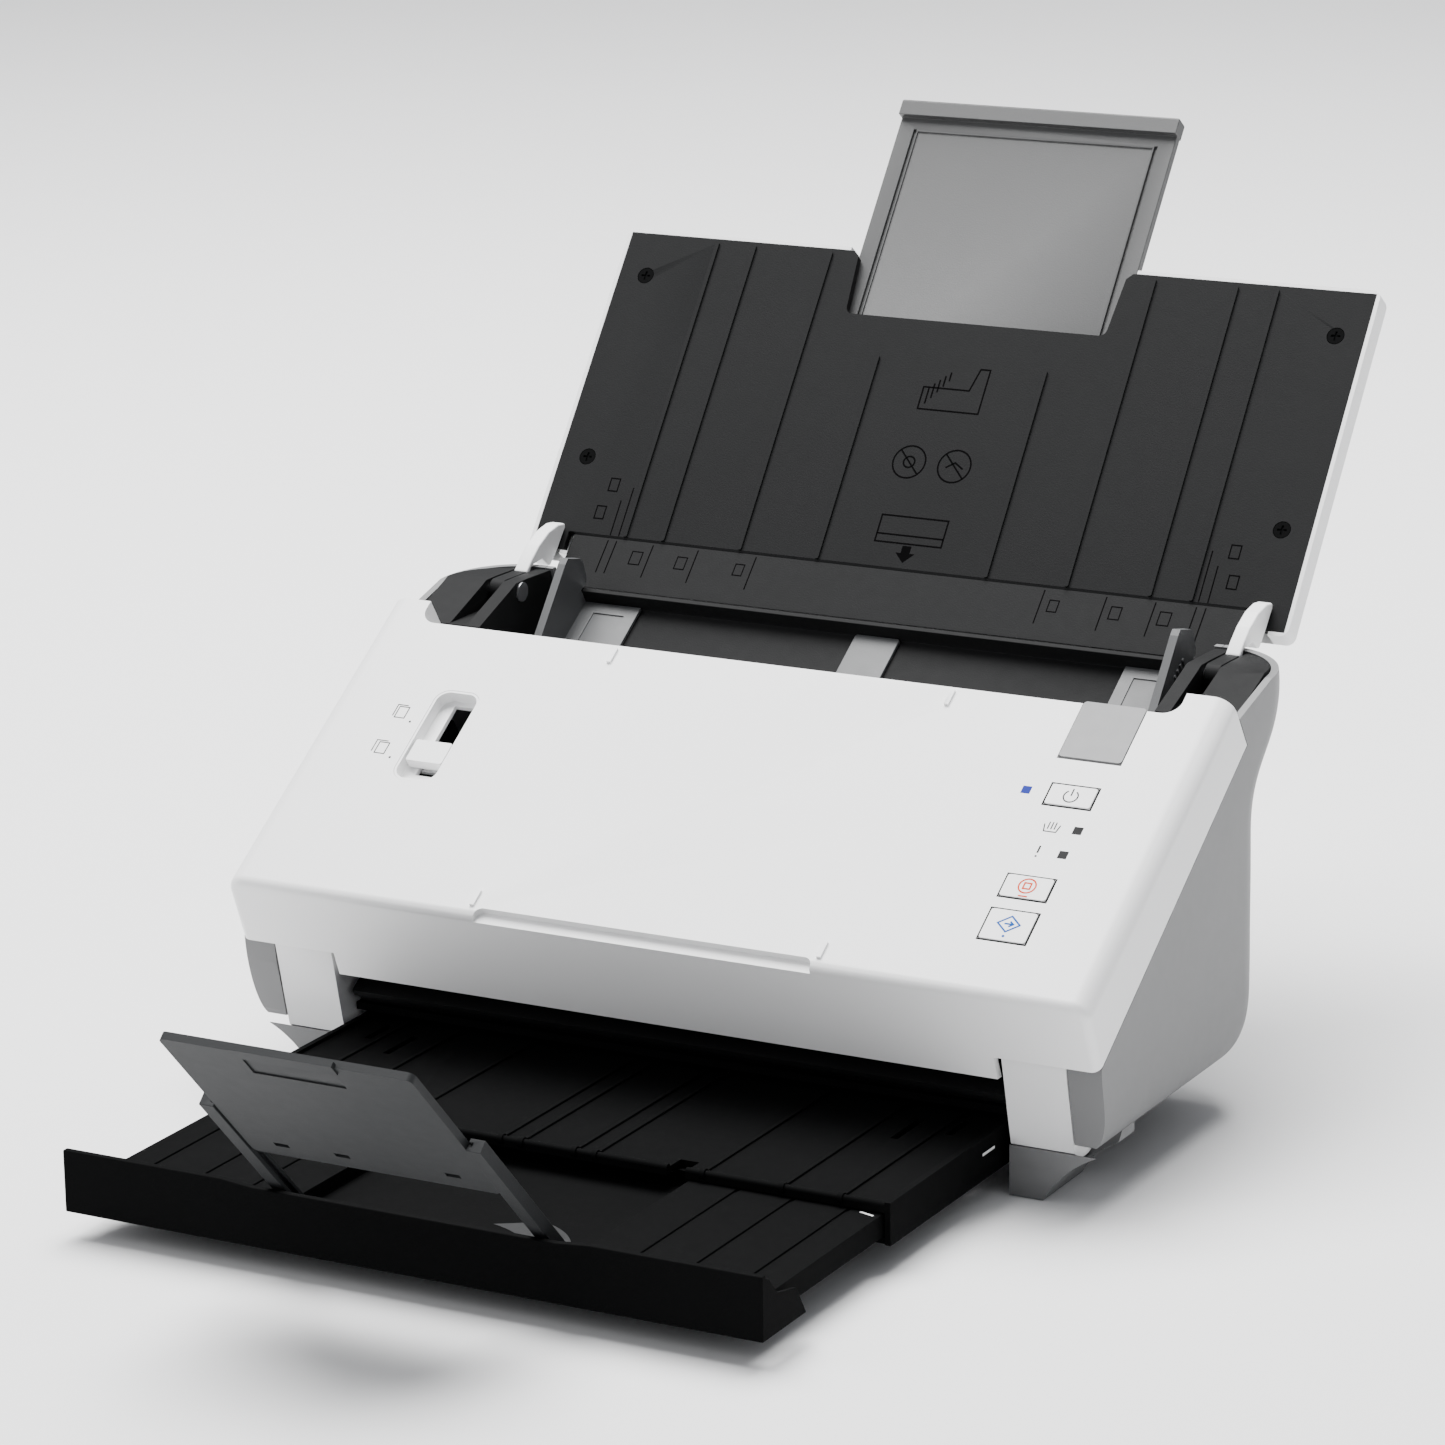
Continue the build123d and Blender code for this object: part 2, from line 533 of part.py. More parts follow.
with BuildPart() as cover_shell:
    add(cover_form.part)
    # rear edge between the ears, with a hollow round foot at each ear
    with BuildSketch(COVER.offset(5)) as rear_step:
        with BuildLine():
            Line((-NOTCH, COVER_REAR_V), (NOTCH, COVER_REAR_V))
            RadiusArc((NOTCH, COVER_REAR_V), (NOTCH + 5.6, COVER_REAR_V + 5.6), -5.6)
            Line((NOTCH + 5.6, COVER_REAR_V + 5.6), (NOTCH + 5.6, 125))
            Line((NOTCH + 5.6, 125), (-NOTCH - 5.6, 125))
            Line((-NOTCH - 5.6, 125), (-NOTCH - 5.6, COVER_REAR_V + 5.6))
            RadiusArc((-NOTCH - 5.6, COVER_REAR_V + 5.6), (-NOTCH, COVER_REAR_V), -5.6)
        make_face()
    extrude(rear_step.sketch, amount=-50, mode=Mode.SUBTRACT)
    # inside of the shell: the middle, and the two ears further back
    inner_front = [(-4.9, 62.0), (FACE_LOW[0] + 2.33, LIP_Z + 0.9), (8.5, 30)]
    room_rear = COVER_REAR_V - SKIN
    inner_top = [cover_point(room_rear, -SKIN), cover_point(3.5, -SKIN), cover_point(1.5, -4.6)]
    room = inner_top + inner_front + [cover_point(room_rear, -60)]
    prism(-HALF_WIDTH + SKIN, HALF_WIDTH - SKIN, room, mode=Mode.SUBTRACT)
    for sign in (-1, 1):
        ear_room = (sign * (NOTCH + 8.1), sign * (HALF_WIDTH - SKIN), 90, COVER_EAR_V - SKIN)
        block(COVER, *ear_room, -60, -SKIN, mode=Mode.SUBTRACT)
        # bays over the hinge blocks and front trims
        bay = [under_cover(-20), under_cover(20), (20, 20), (-20, 20)]
        prism(sign * (LIP_HALF + 0.3), sign * 160, bay, mode=Mode.SUBTRACT)
    # finger recess along the front edge
    rounded(COVER, -58, 58, -24, -3.3, -2.4, 3, 2.6, mode=Mode.SUBTRACT)
    for sign in (-1, 1):
        rear_stop = COVER * Location((sign * 59.5, COVER_REAR_V - 4.6, 0))
        front_stop = COVER * Location((sign * 59.8, 0, 0))
        stop_at = (rear_stop, front_stop)
        with Locations(*stop_at):
            Box(1.5, 6.0, 1.6)
    # openings for the controls
    switch_u, switch_v = SWITCH_AT
    switch_hole = (switch_u - 8.2, switch_u + 8.2, switch_v - 19.3, switch_v + 19.3)
    rounded(COVER, *switch_hole, -9, 3, 5.0, mode=Mode.SUBTRACT)
    block(COVER, LEVER_U[0] - 0.3, LEVER_U[1] + 0.3, LEVER_V[0] - 0.8, 112, -9.5, 3, mode=Mode.SUBTRACT)
    for low, high in (POWER_V, STOP_V, START_V):
        rounded(COVER, *BUTTON_U, low, high, -9, 3, 1.2, mode=Mode.SUBTRACT)
    for u, v in (POWER_LED,) + STATUS_LEDS:
        block(COVER, u - LED_HALF, u + LED_HALF, v - LED_HALF, v + LED_HALF, -9, 3, mode=Mode.SUBTRACT)
save(cover_shell.part, "cover_shell")

with BuildPart() as upper_paper_guide:
    block(COVER, -LIP_HALF, LIP_HALF, -4.5, 104, -36.0, -34.6)
    for sign in (-1, 1):
        block(COVER, sign * (LIP_HALF - 2.0), sign * LIP_HALF, 10, 80, -34.7, -14)
        block(COVER, sign * (LIP_HALF - 2.0), sign * (HALF_WIDTH - 2.8), 40, 60, -16.5, -14)
    path_windows()
save(upper_paper_guide.part, "upper_paper_guide")

with BuildPart() as hinge_blocks:
    y, z = COVER_AXIS
    for sign in (-1, 1):
        block_front = [(0.2, BLOCK_TOP_Z), (6.9, 16.0), (14.5, 16.0)]
        block_rear = [(24.4, 19.0), (22.0, 33), (15.5, BLOCK_TOP_Z)]
        prism(sign * BLOCK_IN, sign * BLOCK_OUT, block_front + block_rear)
        rod(sign * BLOCK_IN, sign * BLOCK_OUT, (y, z), 11.8)
        front_cut = [(-6, 50), (-1.0, 50), (6.9, 16.0), (5.6, 10), (-6, 10)]
        prism(sign * 115, sign * 138, front_cut, mode=Mode.SUBTRACT)
        # arm that reaches up inside the shell
        horn = [(4.6, 44), (15.0, 44), (22, 62), (24, 70), (16, 65.2), (14, 62)]
        prism(sign * BLOCK_IN, sign * BLOCK_OUT, horn)
        block(COVER, sign * (LIP_HALF + 0.1), sign * BLOCK_OUT, 12, 32, -16.4, -14.2)
        rod(sign * 128.5, sign * 138, (y, z), 2.55, mode=Mode.SUBTRACT)
save(hinge_blocks.part, "hinge_blocks")

with BuildPart() as upper_scan_unit:
    block(COVER, -111.4, 111.4, 33, 57, -34.4, -17)
    block(COVER, -110.4, 110.4, 38, 52, -37, -28, mode=Mode.SUBTRACT)
save(upper_scan_unit.part, "upper_scan_unit")

with BuildPart() as upper_scan_glass:
    block(COVER, -110.0, 110.0, *GLASS_V, -36.0, -33.6)
save(upper_scan_glass.part, "upper_scan_glass")


IDLER_LOW_N = -38.7  # underside of the cover's rollers, just over the driven ones


def idler(v, radius, driven, tyre_length, shaft_length, name):
    """A free roller on its own axle in the cover, over a driven one."""
    centre = cover_point(v, IDLER_LOW_N + radius)
    with BuildPart() as wheel:
        rod(-shaft_length / 2, shaft_length / 2, centre, 1.5)
        for u in TYRES[driven]:
            rod(u - tyre_length / 2, u + tyre_length / 2, centre, radius)
    save(wheel.part, name)


idler(FEED_AT[0], 8.0, "feed_roller", 14, 36, "separation_roller")
idler(TRANSPORT_AT[0], 6.0, "transport_roller", 20, 206, "transport_pinch_rollers")
idler(EJECT_AT[0], 6.0, "eject_roller", 20, 120, "eject_pinch_rollers")

with BuildPart() as control_board:
    block(COVER, 90, 125, 8, 80, -10.5, -9.2)
    for low, high in (POWER_V, STOP_V, START_V):
        mid_u, mid_v = sum(BUTTON_U) / 2, (low + high) / 2
        block(COVER, mid_u - 2.5, mid_u + 2.5, mid_v - 2.5, mid_v + 2.5, -9.3, -6.2)
    for u, v in (POWER_LED,) + STATUS_LEDS:
        block(COVER, u - 1, u + 1, v - 1, v + 1, -9.3, -7.6)
save(control_board.part, "control_board")


def led_window(u, v):
    """A square light pipe that sits flush in the cover."""
    half = LED_HALF - 0.05
    block(COVER, u - half, u + half, v - half, v + half, -6.5, 0.05)
    block(COVER, u - half - 0.8, u + half + 0.8, v - half, v + half, -4.0, -2.6)


with BuildPart() as power_led_window:
    led_window(*POWER_LED)
save(power_led_window.part, "power_led_window")

with BuildPart() as status_led_windows:
    for place in STATUS_LEDS:
        led_window(*place)
save(status_led_windows.part, "status_led_windows")

SLOT_U, SLOT_V = (-107.0, -99.6), (48.0, 78.0)
KNOB_V = (50.6, 59.6)
KNOB_TRAVEL = 13.0
with BuildPart() as mode_switch_bezel:
    u, v = SWITCH_AT
    rounded(COVER, u - 8.1, u + 8.1, v - 19.2, v + 19.2, -6.0, -0.1, 4.9)
    rounded(COVER, u - 7.3, u + 7.3, v - 18.4, v + 18.4, -4.4, 1, 4.1, mode=Mode.SUBTRACT)
    block(COVER, *SLOT_U, *SLOT_V, -8, 1, mode=Mode.SUBTRACT)
save(mode_switch_bezel.part, "mode_switch_bezel")

with BuildPart() as mode_switch_knob:
    u = SWITCH_AT[0]
    rounded(COVER, u - 6.6, u + 6.6, *KNOB_V, -4.1, -0.6, 0.8)
    block(COVER, u + 0.9 - 3.0, u + 0.9 + 3.0, KNOB_V[0] + 1.2, KNOB_V[1] - 1.2, -7.4, -4.1)
    block(COVER, u + 0.9 - 5.0, u + 0.9 + 5.0, KNOB_V[0] + 0.8, KNOB_V[1] - 0.8, -7.8, -6.3)
save(mode_switch_knob.part, "mode_switch_knob")


def push_button(v_range, name):
    """A sprung key: a cap in the cover's opening and a wider flange that holds it in."""
    low, high = v_range
    left, right = BUTTON_U[0] + BUTTON_GAP, BUTTON_U[1] - BUTTON_GAP
    with BuildPart() as key:
        rounded(COVER, left, right, low + BUTTON_GAP, high - BUTTON_GAP, -4.0, 0.35, 0.9)
        block(COVER, left - 0.9, right + 0.9, low - 0.5, high + 0.5, -4.6, -2.8)
    save(key.part, name)


push_button(POWER_V, "power_button")
push_button(STOP_V, "stop_button")
push_button(START_V, "start_button")

LEVER_PIVOT = (87.0, -1.7)
LATCH_U = (115.6, 119.4)
with BuildPart() as release_lever:
    block(COVER, *LEVER_U, *LEVER_V, -3.2, 0.2)
    fillet(release_lever.edges().filter_by(lambda e: e.length < 4).sort_by(Axis.Z)[-4:], 1.2)
    rod(LEVER_U[0], LEVER_U[1], cover_point(*LEVER_PIVOT), 1.5)
    # latch arm under the lever, with its hook toward the pivot
    block(COVER, *LATCH_U, 93.0, 97.0, -14.0, -3.0)
    block(COVER, *LATCH_U, 90.5, 97.0, -14.0, -12.0)
save(release_lever.part, "release_lever")

# ---------------------------------------------------------------- paper support
with BuildPart() as support_panel:
    block(SUPPORT, -SUPPORT_HALF, SUPPORT_HALF, -6.0, SUPPORT_TOP, -2.5, 0)
    block(SUPPORT, -124.0, 124.0, -7.0, 1.0, -6, 3, mode=Mode.SUBTRACT)
    block(STRIP, -121.5, 121.5, -STRIP_LENGTH, 0, -2.5, 0)
    foot_y, foot_z = SUPPORT_FOOT
    seam_low = [(foot_y + 0.3, foot_z - 0.6), (foot_y + 3.5, foot_z - 1.2)]
    seam_high = [(foot_y + 2.2, foot_z + 1.6), (foot_y + 0.6, foot_z + 0.7)]
    prism(-121.5, 121.5, seam_low + seam_high)
    # opening for the extension at the top edge
    with BuildSketch(SUPPORT.offset(3)) as notch:
        notch_right = [(47.4, 90.0), (49.0, 111.0), (52.4, 114.5)]
        notch_left = [(-u, v) for u, v in reversed(notch_right)]
        Polygon(*notch_right, *notch_left, align=None)
        fillet(notch.vertices().group_by(Axis.Y)[0], 2.5)
    extrude(notch.sketch, amount=-8, mode=Mode.SUBTRACT)
    # raised runners
    for u, top in ((102.4, 111.8), (88.2, 111.8), (59.2, 111.8), (30.6, 75.5)):
        for sign in (-1, 1):
            rounded(SUPPORT, sign * u - 0.7, sign * u + 0.7, 1.0, top, -0.5, 0.7, 0.6)
    for sign in (-1, 1):
        for v in (28.6, 97.3):
            with Locations(SUPPORT * Location((sign * 126, v, 0.0))):
                CounterBoreHole(radius=1.7, counter_bore_radius=3.0, counter_bore_depth=1.2, depth=8)
save(support_panel.part, "support_panel")

BACK_DEPTH = 9.0
with BuildPart() as support_back_shell:
    with BuildSketch(SUPPORT.offset(0.1)) as back_outline:
        with Locations((0, (SUPPORT_TOP + 1.4 - 7.4) / 2)):
            RectangleRounded(2 * (SUPPORT_HALF + 1.5), SUPPORT_TOP + 1.4 + 7.4, 3.0)
    extrude(back_outline.sketch, amount=-BACK_DEPTH - 0.1)
    back_face = support_back_shell.faces().sort_by(Axis((0, 0, 0), tuple(SUPPORT.z_dir)))[0]
    fillet(back_face.edges(), 2.4)
    tray_room = (-SUPPORT_HALF - 0.1, SUPPORT_HALF + 0.1, -6.1, SUPPORT_TOP + 0.1)
    block(SUPPORT, *tray_room, -BACK_DEPTH + 1.6, 1, mode=Mode.SUBTRACT)
    # lead-in strip passes through the foot, and the extension through the top
    block(SUPPORT, -122.2, 122.2, -12, 1, -3.2, 3, mode=Mode.SUBTRACT)
    block(SUPPORT, -52.4, 52.4, 105, 125, -6.8, 3, mode=Mode.SUBTRACT)
    # bosses under the screws and the extension's runners
    for sign in (-1, 1):
        for v in (28.6, 97.3):
            with Locations(SUPPORT * Location((sign * 126, v, -5.0))):
                Cylinder(3.6, 4.9)
            with Locations(SUPPORT * Location((sign * 126, v, -4.5))):
                Cylinder(1.25, 4.0, mode=Mode.SUBTRACT)
        block(SUPPORT, sign * 51.2, sign * 53.0, 6, 104, -7.5, -2.6)
    # open at the foot for the hinge arms
    for sign in (-1, 1):
        arm_room = (sign * (ARM_IN - 0.4), sign * (ARM_OUT + 0.4), -12, 1.5)
        block(SUPPORT, *arm_room, -BACK_DEPTH + 1.5, 3, mode=Mode.SUBTRACT)
save(support_back_shell.part, "support_back_shell")

ARM_SPLIT_Y = 141.0  # a dark lever in front of this, a white end behind it
LEVER_PROFILE = [
    (130.5, 127.9),
    (ARM_SPLIT_Y, 130.0),
    (ARM_SPLIT_Y, 134.6),
    (128.0, 134.9),
]
ARM_END_PROFILE = [
    (ARM_SPLIT_Y, 130.0),
    (144.5, 135.9),
    (151.5, 136.4),
    (156.4, 132.9),
    (162.0, 138.2),
    (168.2, 145.4),
    (162.5, 146.0),
    (156.0, 144.8),
    (149.5, 141.6),
    (144.5, 137.8),
    (ARM_SPLIT_Y, 134.6),
]
with BuildPart() as support_hinge_arms:
    for sign in (-1, 1):
        prism(sign * ARM_IN, sign * ARM_OUT, LEVER_PROFILE)
        rod(sign * ARM_IN, sign * ARM_OUT, HINGE, 3.6)
        rod(sign * (ARM_IN - 1), sign * (ARM_OUT + 1), HINGE, 2.08, mode=Mode.SUBTRACT)
save(support_hinge_arms.part, "support_hinge_arms")

with BuildPart() as support_arm_ends:
    for sign in (-1, 1):
        prism(sign * ARM_IN, sign * ARM_OUT, ARM_END_PROFILE)
    arm_corners = support_arm_ends.edges().filter_by(Axis.X).filter_by(lambda e: e.center().Y - BODY_Y > 146)
    fillet(arm_corners, 1.2)
save(support_arm_ends.part, "support_arm_ends")

with BuildPart() as support_screws:
    for sign in (-1, 1):
        for v in (28.6, 97.3):
            with Locations(SUPPORT * Location((sign * 126, v, -0.6))):
                Cylinder(2.8, 1.1)
            with Locations(SUPPORT * Location((sign * 126, v, -3.4))):
                Cylinder(1.2, 4.6)
            with Locations(SUPPORT * Location((sign * 126, v, -0.1))):
                Box(3.2, 0.7, 0.8, mode=Mode.SUBTRACT)
                Box(0.7, 3.2, 0.8, mode=Mode.SUBTRACT)
save(support_screws.part, "support_screws")

EXTENSION_N = (-6.4, -3.4)
with BuildPart() as support_extension:
    block(SUPPORT, -50.6, 50.6, 58, 166, *EXTENSION_N)
    # finger lip along the top, a little proud of the paper face
    block(SUPPORT, -51.0, 51.0, 166, EXTENSION_TOP, EXTENSION_N[0], -1.0)
    fillet(support_extension.faces().sort_by(Axis.Z)[-1].edges().filter_by(GeomType.LINE), 0.8)
    # grooves and the shallow field between them
    block(SUPPORT, -43.2, 43.2, 62, 161, EXTENSION_N[1] - 0.5, EXTENSION_N[1] + 1, mode=Mode.SUBTRACT)
    for sign in (-1, 1):
        groove_n = (EXTENSION_N[1] - 0.9, EXTENSION_N[1] + 1)
        block(SUPPORT, sign * 43.8, sign * 44.8, 60, 161.8, *groove_n, mode=Mode.SUBTRACT)
save(support_extension.part, "support_extension")

# ---------------------------------------------------------------- paper edge guides
FIN_FACE = 108.4  # inner face of a guide at letter width
FIN_THICK = 2.8
PITCH_RADIUS = 6.0
RACK_N = (-46.6, -44.2)
PINION_TEETH = 12
TOOTH_PITCH = 2 * pi * PITCH_RADIUS / PINION_TEETH
FIN_PROFILE = [
    cover_point(119.0, -40.6),
    cover_point(119.0, -31.5),
    (137.4, 139.6),
    (139.2, 141.2),
    (147.4, 139.4),
    (148.8, 138.0),
    (151.0, 132.6),
    (150.8, 130.3),
    cover_point(158.4, -34.2),
    cover_point(158.4, -40.6),
]


def edge_guide(sign, slot, name):
    """A guide: upright fin, paper plate, stem through its slot and toothed rack below."""
    low, high = slot
    toward = 1 if low > PINION_V else -1
    near, far = PINION_V + toward * (PITCH_RADIUS + 0.9), PINION_V + toward * 10.6
    with BuildPart() as guide:
        prism(sign * FIN_FACE, sign * (FIN_FACE + FIN_THICK), FIN_PROFILE)
        block(COVER, sign * 87.6, sign * (FIN_FACE + 0.1), 105.6, 158.4, -40.7, -39.5)
        # dished field on the plate, finger tab and finger ribs
        block(COVER, sign * 92.0, sign * 103.5, 124, 154, -39.9, -39, mode=Mode.SUBTRACT)
        block(COVER, sign * 84.2, sign * 88.0, 133.5, 137.5, -40.7, -39.5)
        for step in range(4):
            grip_v = 146.5 + 2.4 * step
            grip_u = FIN_FACE + FIN_THICK
            block(COVER, sign * (grip_u - 0.1), sign * (grip_u + 0.5), grip_v, grip_v + 0.8, -36, -28)
        block(COVER, sign * 96, sign * 104, low, high, RACK_N[0], -40.6)
        block(COVER, sign * 104, sign * -12, near, far, *RACK_N)
        teeth = int(96 / TOOTH_PITCH)
        with BuildSketch(COVER.offset(RACK_N[0])) as row:
            for step in range(-2, teeth):
                # the pinion stands tooth-up here, so a rack gap lies at u = 0
                u = sign * (step + 0.5) * TOOTH_PITCH
                with Locations((u, 0)):
                    tip = near - toward * 1.7
                    Polygon((-0.75, near), (0.75, near), (0.4, tip), (-0.4, tip), align=None)
        extrude(row.sketch, amount=RACK_N[1] - RACK_N[0])
    save(guide.part, name)


edge_guide(-1, SLOTS[1], "left_edge_guide")
edge_guide(1, SLOTS[0], "right_edge_guide")

with BuildPart() as guide_pinion:
    with BuildSketch(COVER.offset(RACK_N[0])) as wheel:
        with Locations((0, PINION_V)):
            Circle(PITCH_RADIUS - 1.2)
            with PolarLocations(0, PINION_TEETH, start_angle=90):
                tip = PITCH_RADIUS + 0.75
                Polygon((3.0, -1.05), (tip, -0.36), (tip, 0.36), (3.0, 1.05), align=None)
            Circle(1.9, mode=Mode.SUBTRACT)
    extrude(wheel.sketch, amount=RACK_N[1] - RACK_N[0])
save(guide_pinion.part, "guide_pinion")

# ---------------------------------------------------------------- output tray
TOP_Z = 19.8
with BuildPart() as tray_stage_one:
    block(plan(17.7), -TRAY_HALF, TRAY_HALF, TRAY_LIP_Y, 24, 0, TOP_Z - 17.7)
    for sign in (-1, 1):
        block(plan(TRAY_Z), sign * (TRAY_HALF - 1.8), sign * TRAY_HALF, TRAY_LIP_Y, 24, 0, 13.0)
        block(plan(TRAY_Z), sign * (TRAY_HALF - 9.0), sign * TRAY_HALF, TRAY_LIP_Y + 1, 24, 0, 1.7)
    # rolled front lip and raised runners
    rod(-TRAY_HALF + 2, TRAY_HALF - 2, (TRAY_LIP_Y + 1.2, TOP_Z - 0.2), 1.2)
    for u in (-97, -78, -52, -16, -9, 9, 16, 52, 78, 97):
        rod(u - 0.8, u + 0.8, (TRAY_LIP_Y + 1.2, TOP_Z - 0.2), 1.7)
        block(plan(TOP_Z), u - 0.7, u + 0.7, TRAY_LIP_Y + 1, 22, -0.2, 0.7)
    for u, low, high in ((-101, -4, 10), (-88, -14, 4), (88, -14, 4), (101, -4, 10)):
        block(plan(0), u - 1.2, u + 1.2, low, high, 17, 22, mode=Mode.SUBTRACT)
    # slots in the lip that let the stopper's arms pass
    for sign in (-1, 1):
        block(plan(0), sign * 40.3, sign * 46.5, TRAY_LIP_Y - 2, -57.3, 17, 22, mode=Mode.SUBTRACT)
save(tray_stage_one.part, "tray_stage_one")

SLAB_HALF, SLAB_REAR = 110.6, -52.0
POCKET_HALF, POCKET_REAR = 47.6, -59.0
SLAB_Z = (10.2, 17.2)
with BuildPart() as tray_stage_two:
    block(plan(SLAB_Z[0]), -SLAB_HALF, SLAB_HALF, PANEL_Y + 2.5, SLAB_REAR, 0, SLAB_Z[1] - SLAB_Z[0])
    block(plan(12.4), -POCKET_HALF, POCKET_HALF, -143.6, POCKET_REAR, 0, 10, mode=Mode.SUBTRACT)
    for sign in (-1, 1):
        block(plan(0), sign * 51.0, sign * 108.6, -142, SLAB_REAR - 2, 0, SLAB_Z[1] - 2.0, mode=Mode.SUBTRACT)
        rod(sign * 47, sign * 50.4, STOPPER_AXIS, 1.7, mode=Mode.SUBTRACT)
        for u in (64, 82, 100):
            groove_u = (sign * u - 0.6, sign * u + 0.6)
            block(plan(SLAB_Z[1]), *groove_u, -144, SLAB_REAR, -0.6, 0, mode=Mode.SUBTRACT)
save(tray_stage_two.part, "tray_stage_two")

with BuildPart() as tray_front_panel:
    block(plan(TRAY_Z), -PANEL_HALF, PANEL_HALF, PANEL_Y, PANEL_Y + 2.4, 0, 19.1)
    dip = [(-62, 28), (-62, 27.2), (-50, 26.1), (50, 26.1), (62, 27.2), (62, 28)]
    with BuildSketch(face_on(-140)) as dip_outline:
        Polygon(*dip, align=None)
    extrude(dip_outline.sketch, amount=20, mode=Mode.SUBTRACT)
    for sign in (-1, 1):
        cheek_front = [(PANEL_Y, TRAY_Z), (PANEL_Y, 27.1), (-143, 25.4)]
        cheek_rear = [(-138, 19.6), (-127, 17.2), (-121.5, TRAY_Z)]
        prism(sign * (PANEL_HALF - 1.5), sign * PANEL_HALF, cheek_front + cheek_rear)
    block(plan(TRAY_Z), -PANEL_HALF, PANEL_HALF, PANEL_Y, PANEL_Y + 5.0, 0, 1.8)
save(tray_front_panel.part, "tray_front_panel")

ARM_REACH = 66.6
with BuildPart() as stopper_frame:
    for sign in (-1, 1):
        block(STOPPER, sign * 41.0, sign * 45.8, 0, ARM_REACH, -2.0, 2.0)
        rod(sign * 41.0, sign * 45.8, STOPPER_AXIS, 2.0)
        rod(sign * 45.8, sign * 50.0, STOPPER_AXIS, 1.62)
        block(STOPPER, sign * 40, sign * 42.4, 2.5, ARM_REACH + 1, -0.75, 0.75, mode=Mode.SUBTRACT)
    block(STOPPER, -42, 42, 44, 52, -2.0, -1.3)
save(stopper_frame.part, "stopper_frame")

PLATE_LOW = 39.8
with BuildPart() as stopper_panel:
    block(STOPPER, -40.6, 40.6, PLATE_LOW, STOPPER_REACH, -1.1, 1.4)
    fillet(stopper_panel.edges().filter_by(lambda e: e.length < 3).sort_by(Axis.Z)[-4:], 2.0)
    block(STOPPER, -42.0, 42.0, PLATE_LOW, ARM_REACH - 1, -0.4, 0.4)
    block(STOPPER, -16.5, 16.5, STOPPER_REACH - 3, STOPPER_REACH + 1.6, 0.2, 2.0)
    block(STOPPER, -15, 15, STOPPER_REACH - 12, STOPPER_REACH - 3, 0.9, 3, mode=Mode.SUBTRACT)
    for u in (-28, -8, 28):
        block(STOPPER, u - 2.4, u + 2.4, PLATE_LOW + 6, PLATE_LOW + 8, -4, 4, mode=Mode.SUBTRACT)
save(stopper_panel.part, "stopper_panel")
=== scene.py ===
import json
from math import cos, pi, radians, sin

import bmesh
import bpy
from mathutils import Matrix, Vector


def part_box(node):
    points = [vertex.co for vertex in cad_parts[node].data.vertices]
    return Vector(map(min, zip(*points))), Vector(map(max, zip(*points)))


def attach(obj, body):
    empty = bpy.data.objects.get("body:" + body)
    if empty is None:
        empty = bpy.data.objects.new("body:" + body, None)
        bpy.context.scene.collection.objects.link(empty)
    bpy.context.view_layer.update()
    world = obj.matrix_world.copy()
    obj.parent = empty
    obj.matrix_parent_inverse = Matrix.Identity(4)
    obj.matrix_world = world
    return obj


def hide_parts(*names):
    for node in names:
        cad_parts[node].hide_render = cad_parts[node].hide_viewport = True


# Sheet-fed document scanner. Lengths are in millimetres unless a comment says otherwise.

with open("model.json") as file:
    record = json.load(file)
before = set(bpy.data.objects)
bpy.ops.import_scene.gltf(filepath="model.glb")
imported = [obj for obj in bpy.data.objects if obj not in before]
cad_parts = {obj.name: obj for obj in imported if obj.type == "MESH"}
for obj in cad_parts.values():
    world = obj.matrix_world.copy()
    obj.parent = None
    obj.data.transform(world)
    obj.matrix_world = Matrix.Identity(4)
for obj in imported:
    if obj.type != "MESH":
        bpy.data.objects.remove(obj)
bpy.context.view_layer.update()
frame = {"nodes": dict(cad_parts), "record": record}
NODES = frame["nodes"]
SLOT_OF = {part["node"]: part["material_slot"] for part in frame["record"]["subparts"]}
BODY_OF = {n: body for body, names in frame["record"]["behaviour"]["bodies"].items() for n in names}
MM = 0.001

# ---------------------------------------------------------------- places taken from the frame
PANEL_REACH = 147.2           # the tray's end panel in front of the housing's front face
HOUSING_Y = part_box("tray_front_panel")[0].y / MM + PANEL_REACH
COVER_SLOPE, COVER_START = 33.0, (-4.1, 71.0)      # degrees, and (y from the housing front, z)
SUPPORT_SLOPE, STRIP_SLOPE = 52.3, 44.4            # degrees, above and below the panel's bend
SUPPORT_FOOT = (166.2, 142.2)                      # the bend: (y from the housing front, z)
POCKET_FLOOR = 12.4           # the height of the floor of tray stage two's pocket
TRAY_DECK = 17.2              # the height of tray stage two's upper face


def surface(start, normal):
    """A frame on a surface that holds the X direction: local z is its outward normal."""
    z = Vector(normal).normalized()
    x = Vector((1, 0, 0))
    y = z.cross(x)
    rotation = Matrix((x, y, z)).transposed().to_4x4()
    return Matrix.Translation(Vector((0, HOUSING_Y + start[0], start[1])) * MM) @ rotation


def sloped(start, degrees):
    """A frame on a surface that rises towards the back by this angle."""
    return surface(start, (0, -sin(radians(degrees)), cos(radians(degrees))))


COVER = sloped(COVER_START, COVER_SLOPE)
SUPPORT = sloped(SUPPORT_FOOT, SUPPORT_SLOPE)
STRIP = sloped(SUPPORT_FOOT, STRIP_SLOPE)
LEVEL = surface((0, 0), (0, 0, 1))

# ---------------------------------------------------------------- materials

GRAIN_HEIGHT = 0.0002         # metres
SHEEN_RANGE = 0.08            # how far the roughness of a plastic wanders
BROAD_NOISE, GLOSS_NOISE = 18.0, 260.0             # cycles per metre
FINE_GRAIN = 3000.0
FAINT_DEPTH = 0.05


def new_material(name):
    material = bpy.data.materials.new(name)
    material.use_nodes = True
    return material, material.node_tree, material.node_tree.nodes["Principled BSDF"]


